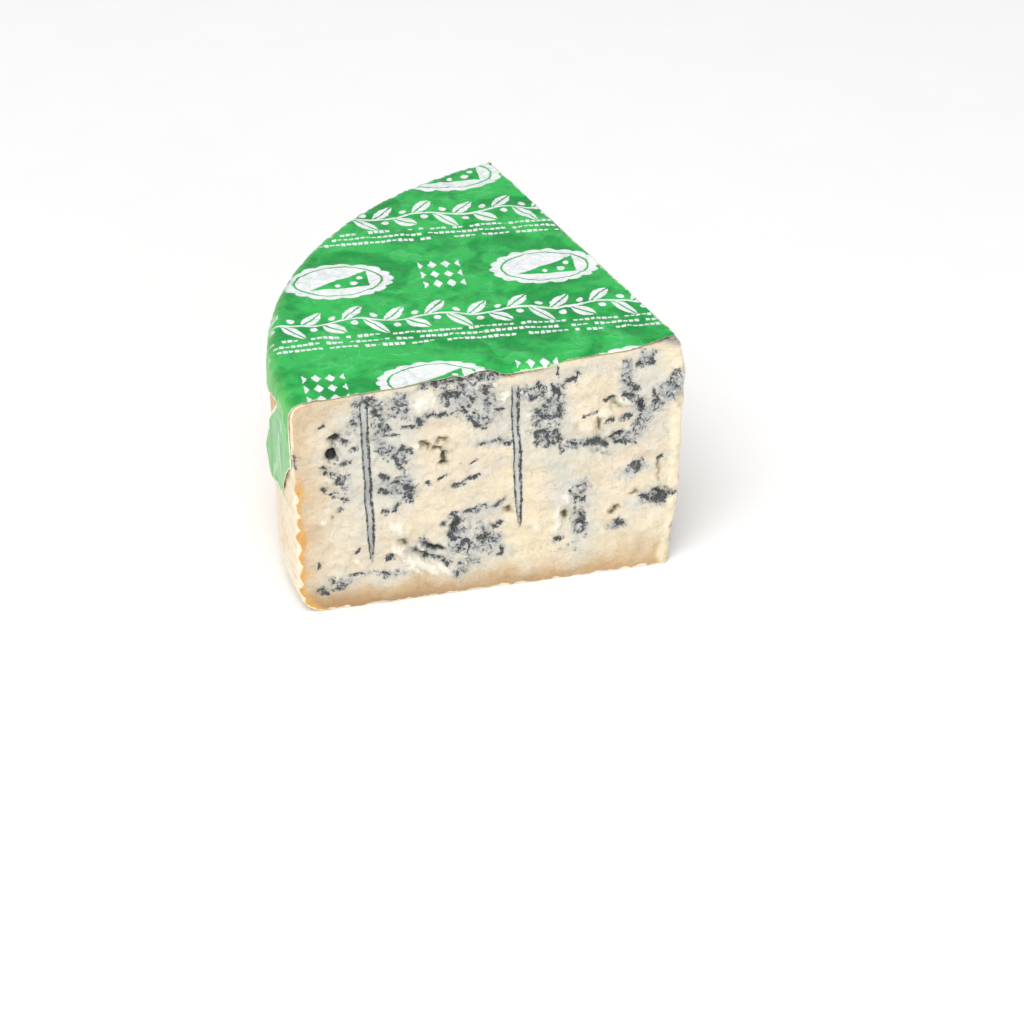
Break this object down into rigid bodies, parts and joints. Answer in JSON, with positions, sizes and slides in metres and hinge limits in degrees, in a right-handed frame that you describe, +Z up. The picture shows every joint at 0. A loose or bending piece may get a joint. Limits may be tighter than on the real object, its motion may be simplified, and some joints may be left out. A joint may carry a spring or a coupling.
{
  "type": "blue cheese wedge",
  "caption": "Sector-shaped wedge of blue-veined cheese with a rounded rim, foil over its top and a strip of foil down its rim.",
  "frame": {"origin": "middle of the wedge's footprint, at its base", "axes": "+Z up, -Y out of the front cut face, +X towards the wedge's tip along that face"},
  "size_m": [0.1481, 0.1602, 0.0876],
  "materials": {
    "paste": "moist, semi-matt, cream paste with blue-grey mould and an orange-cream rind",
    "green_foil": "satin, printed green with white"
  },
  "bodies": {
    "root": {"cheese_wedge": "paste", "foil_wrap": "green_foil"}
  },
  "joints": []
}
